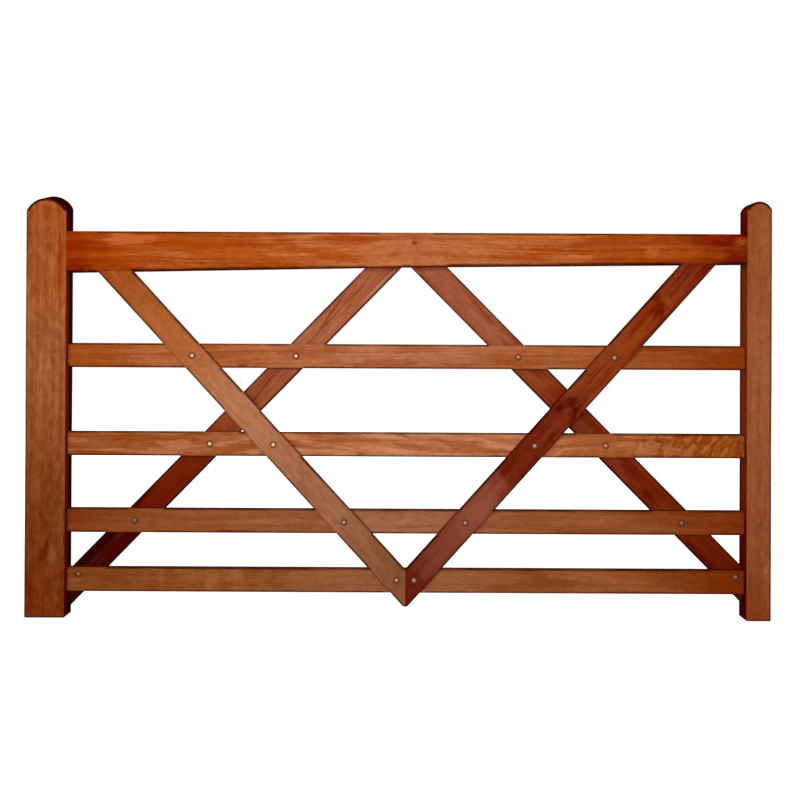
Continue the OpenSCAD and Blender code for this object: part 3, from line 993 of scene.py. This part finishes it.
def crossing_boards(node):
    """The boards that a rail or a brace crosses."""
    if node.endswith("_rail"):
        others = [name for name in timbers if "brace" in name]
    elif "brace" in node:
        side = "rear" if node.startswith("front") else "front"
        others = [name for name in timbers if name.endswith("_rail") or name.startswith(side)]
    else:
        others = []
    return [(timbers[name], half_width(timbers[name])) for name in others]


for node, look in LOOKS.items():
    piece = timbers[node]
    piece.data.materials.clear()
    holes = [piece.matrix_world.inverted() @ Vector((p.x, 0, p.y)) for p in bolt_places.get(node, [])]
    full_look = {**PLAIN_LOOK, **look}
    crossing = crossing_boards(node)
    material = timber_material("wood_" + node, piece["length"], full_look, crossing, holes, crowns.get(node))
    piece.data.materials.append(material)
    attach(piece, "root")
    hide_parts(node)


# ---------------- pegs

DARK_PEGS = ("hanging_peg_top", "slamming_peg_lower")       # those with a dark heart
PEG_HEART = srgb(96, 44, 14)


def peg_material(name, face, heart):
    """End grain of a round peg: rings about a point off its middle, with dark pores.

    face is its linear colour, and heart how dark its middle is.
    """
    material, n, shader, place = new_material(name)
    flat = n.vector("MULTIPLY", n.vector("ADD", place, (0.011, 0.0, 0.006)), (1.0, 0.0, 1.0))
    radius = n.times(n.length(flat), 900.0)
    rings = n.noise(n.join(radius, 0.0, 0.0), detail=2.0)
    pores = n.noise(n.vector("MULTIPLY", place, (2500.0, 90.0, 2500.0)))
    ring = tuple(value * 0.8 for value in face[:3])
    colour = n.mix(n.between(rings, 0.35, 0.65), face, (*ring, 1.0))
    colour = n.mix(n.between(pores, 0.58, 0.7, 0.0, 0.4), colour, srgb(48, 18, 6))
    from_middle = n.length(n.vector("MULTIPLY", place, (1.0, 0.0, 1.0)))
    colour = n.mix(n.between(from_middle, 3.6 * MM, 1.0 * MM, 0.0, heart), colour, PEG_HEART)
    rough = n.between(rings, 0.3, 0.7, 0.5, 0.65)
    n.feed(shader, {"Base Color": colour, "Roughness": rough, "Specular IOR Level": 0.0})
    add_bump(n, shader, n.minus(rings, pores), 0.5, 0.3 * MM)
    return material


def colour_at(stops, share):
    """The colour of a board at a share of its length."""
    for (a, first, _), (b, second, _) in zip(stops, stops[1:]):
        if share <= b:
            blend = (share - a) / (b - a)
            return srgb(*(p + (q - p) * blend for p, q in zip(first, second)))
    return srgb(*stops[-1][1])


for node in PEGS:
    low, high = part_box(node)
    radius = (high.x - low.x) / 2
    near_y, far_y = low.y + PEG_RECESS, high.y - PEG_RECESS
    dome = [(0, 0), (radius * 0.6, 0.06 * MM), (radius - PEG_RIM, 0.15 * MM), (radius, PEG_RIM)]
    profile = [(r, near_y + depth) for r, depth in dome] + [(r, far_y - depth) for r, depth in dome[::-1]]
    piece = new_object("wood_" + node, mesh_of(lathe(profile, PEG_STEPS), node))
    piece.location = ((low.x + high.x) / 2, 0, (low.z + high.z) / 2)
    finish_mesh(piece)
    stile = node.split("_")[0] + "_stile"
    foot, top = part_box(stile)
    # The peg takes the stile's colour at its height, painted sheen and shade included
    face = colour_at(LOOKS[stile]["stops"], (piece.location.z - foot.z) / (top.z - foot.z))
    piece.data.materials.append(peg_material("peg_" + node, face, 0.9 if node in DARK_PEGS else 0.1))
    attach(piece, "root")
    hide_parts(node)


# ---------------- bolts

def steel_material(name, tint, shade_and_dirt_colour, rough):
    """Zinc plated steel, dulled, with painted shade and dark reflection towards the rim of a bolt's head, and
    spots of dirt.
    """
    material, n, shader, place = new_material(name)
    cloud = n.noise(n.vector("MULTIPLY", place, (380.0, 380.0, 380.0)), detail=4.0, roughness=0.65)
    flat = n.length(n.vector("MULTIPLY", place, (1.0, 0.0, 1.0)))
    # Painted shade and dark reflection towards the rim of the head; the cloud adds spots of dirt
    rim = n.between(flat, HEAD_R * 0.4, HEAD_R * 0.8)
    shade_and_dirt = n.math("ADD", rim, n.between(cloud, 0.5, 0.8, 0.0, 0.4), clamp=True)
    colour = n.mix(shade_and_dirt, srgb(*tint), srgb(*shade_and_dirt_colour))
    rough = n.between(cloud, 0.3, 0.7, rough - 0.06, rough + 0.08)
    n.feed(shader, {"Base Color": colour, "Metallic": 0.7, "Roughness": rough})
    add_bump(n, shader, cloud, 0.25, 0.1 * MM)
    return material


# One zinc at three brightnesses, given to the bolts by their places on the gate
BRIGHT_ZINC = steel_material("bright_zinc", (182, 142, 116), (92, 52, 36), 0.46)
DULL_ZINC = steel_material("dull_zinc", (136, 103, 88), (90, 52, 36), 0.5)
DARK_ZINC = steel_material("dirty_zinc", (112, 72, 48), (84, 46, 26), 0.54)


def bolt_mesh(head_y, end_y):
    """A cup-head bolt whose head stands on the plane head_y to the front, and whose thread ends at end_y."""
    cap = (HEAD_R ** 2 + HEAD_H ** 2) / (2 * HEAD_H)
    reach = math.asin(HEAD_R / cap)
    steps = 12
    profile = [(0, head_y - HEAD_H)]
    for i in range(1, steps + 1):
        turn = reach * i / steps
        depth = cap * (1 - math.cos(turn)) * DOME_DEPTH
        profile.append((cap * math.sin(turn) * DOME_WIDTH, head_y - HEAD_H + depth))
    profile += [(HEAD_R, head_y - HEAD_RIM), (HEAD_R, head_y), (BOLT_R, head_y)]
    thread_from = end_y - THREAD_LENGTH
    profile.append((BOLT_R, thread_from))
    y = thread_from
    while y + THREAD_PITCH < end_y:
        profile += [(THREAD_ROOT_R, y + THREAD_PITCH * 0.5), (BOLT_R, y + THREAD_PITCH)]
        y += THREAD_PITCH
    profile += [(BOLT_TIP_R, end_y), (0, end_y)]
    return lathe(profile)


def washer_mesh(y):
    chamfer = 0.3 * MM
    inner = BOLT_R + CLEARANCE
    rim = [(WASHER_R, 0), (WASHER_R, WASHER_T - chamfer), (WASHER_R - chamfer, WASHER_T)]
    section = [(inner, 0), *rim, (inner, WASHER_T)]
    return tube([[around(r, turn, y + height) for r, height in section] for turn in turns(ROUND_STEPS)])


def nut_mesh(y, turned):
    """A hexagon nut whose corners are chamfered at 30 degrees on its outer face."""
    inner = BOLT_R + CLEARANCE / 2
    sections = []
    for turn in turns(NUT_STEPS):
        side_r = NUT_R / math.cos(turn % (math.pi / 3) - math.pi / 6)
        drop = (side_r - NUT_R) * math.tan(math.radians(30))
        section = [(inner, 0), (side_r, 0), (side_r, NUT_H - drop), (NUT_R * 0.97, NUT_H), (inner, NUT_H)]
        sections.append([around(radius, turn + turned, y + height) for radius, height in section])
    return tube(sections)


def place_fastener(name, bm, x, z, steel):
    piece = new_object(name, mesh_of(bm, name))
    piece.location = (x, 0, z)
    finish_mesh(piece)
    piece.data.materials.append(steel)
    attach(piece, "root")


LOW_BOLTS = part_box("lower_rail")[1].z       # bolts below this height are low ones
MIDDLE_X = (CAD_BOX[0][0] + CAD_BOX[1][0]) / 2


def steel_of(hole, is_front):
    """The heads are bright high up on the hanging half, darkest low down on the rails, and dull elsewhere."""
    is_high = hole.y > LOW_BOLTS
    if is_high and hole.x < MIDDLE_X:
        return BRIGHT_ZINC
    return DULL_ZINC if is_high or is_front else DARK_ZINC


number = 0
for brace in [n for n in LOOKS if "brace" in n]:
    low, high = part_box(brace)
    is_front = brace.startswith("front")
    rail_low, rail_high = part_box("bottom_rail")
    if is_front:
        head_y, washer_y = low.y, rail_high.y
    else:
        head_y, washer_y = rail_low.y, recess_floor(brace, high.y)
    outline, holes = outline_and_holes(brace, low.y if is_front else high.y)
    for hole in sorted(holes, key=lambda p: p.y):
        number += 1
        tag = f"{number:02d}"
        nut_y = washer_y + WASHER_T
        steel = steel_of(hole, is_front)
        place_fastener("bolt_" + tag, bolt_mesh(head_y, nut_y + NUT_H + BOLT_END), hole.x, hole.y, steel)
        place_fastener("washer_" + tag, washer_mesh(washer_y), hole.x, hole.y, steel)
        place_fastener("nut_" + tag, nut_mesh(nut_y, NUT_TURN * number), hole.x, hole.y, steel)


# ---------------- stage, light and camera

LOW, HIGH = Vector(CAD_BOX[0]), Vector(CAD_BOX[1])
CENTRE = (LOW + HIGH) / 2
FLOOR_HALF = 14.0
CAMERA_PLACE = (1.0638, -3.2, 0.79)
LIT_PLACE = (1.06, 0, 0.6)  # what both lamps look at
SHADOW_NEAR, SHADOW_FAR = 1.2, 3.0      # the floor turns white between these distances from the gate's middle


def seen_directly(n):
    """1 for what the camera, a reflection or a view through glass shows."""
    path = n.add("ShaderNodeLightPath").outputs
    seen = n.highest(path["Is Camera Ray"], path["Is Glossy Ray"])
    return n.highest(seen, path["Is Transmission Ray"])


def make_floor():
    """A pale floor that the camera sees fade to white round the gate, and that keeps the gate's shadow."""
    bm = bmesh.new()
    quarters = ((-1, -1), (1, -1), (1, 1), (-1, 1))
    bm.faces.new([bm.verts.new((CENTRE.x + x * FLOOR_HALF, y * FLOOR_HALF, LOW.z)) for x, y in quarters])
    floor = new_object("floor", mesh_of(bm, "floor"))
    material = bpy.data.materials.new("pale_floor")
    material.use_nodes = True
    material.node_tree.nodes.clear()
    n = Nodes(material.node_tree)
    place = n.add("ShaderNodeNewGeometry").outputs["Position"]
    away = n.length(n.vector("SUBTRACT", place, (CENTRE.x, 0, LOW.z)))
    white = n.add("ShaderNodeEmission", {"Strength": n.between(away, SHADOW_NEAR, SHADOW_FAR, 0.82, 1.0)})
    lit = n.add("ShaderNodeBsdfDiffuse", {"Color": (0.5, 0.5, 0.5, 1)})
    shown = n.add("ShaderNodeAddShader", (lit.outputs[0], white.outputs[0]))
    dull = n.add("ShaderNodeBsdfDiffuse", {"Color": (0.3, 0.28, 0.26, 1)})
    choice = n.add("ShaderNodeMixShader", (seen_directly(n), dull.outputs[0], shown.outputs[0]))
    n.add("ShaderNodeOutputMaterial", {"Surface": choice.outputs[0]})
    floor.data.materials.append(material)


def make_world(ambient):
    world = bpy.data.worlds.new("studio")
    bpy.context.scene.world = world
    world.use_nodes = True
    n = Nodes(world.node_tree)
    shade = n.mix(seen_directly(n), (ambient, ambient, ambient, 1), (1, 1, 1, 1))
    n.feed(world.node_tree.nodes["Background"], {"Color": shade})


def area_light(name, place, target, width, height, power):
    light = bpy.data.lights.new(name, "AREA")
    light.shape = "RECTANGLE"
    light.size = width
    light.size_y = height
    light.energy = power
    lamp = new_object(name, light)
    lamp.location = place
    lamp.rotation_euler = (Vector(target) - Vector(place)).to_track_quat("-Z", "Y").to_euler()


def make_camera():
    """A view almost level and square on to the gate, from a little left of its middle, shifted down."""
    data = bpy.data.cameras.new("camera")
    data.sensor_width = 36.0
    data.lens = 49.82
    data.shift_x = 0.0043
    data.shift_y = -0.0772
    camera = new_object("camera", data)
    ahead = Vector((-0.0009, 1, 0.0043)).normalized()
    right = Vector((1, 0.0009, 0.00486)).normalized()
    up = right.cross(ahead).normalized()
    turn = Matrix((ahead.cross(up), up, -ahead)).transposed().to_4x4()
    camera.matrix_world = Matrix.Translation(CAMERA_PLACE) @ turn
    bpy.context.scene.camera = camera


make_floor()
make_world(0.3)
area_light("key", (0.0, -8.0, 1.9), LIT_PLACE, 6.0, 3.4, 620)
area_light("back", (-0.6, 7.0, 3.6), LIT_PLACE, 4.0, 3.0, 330)
make_camera()
bpy.context.scene.view_settings.view_transform = "Standard"
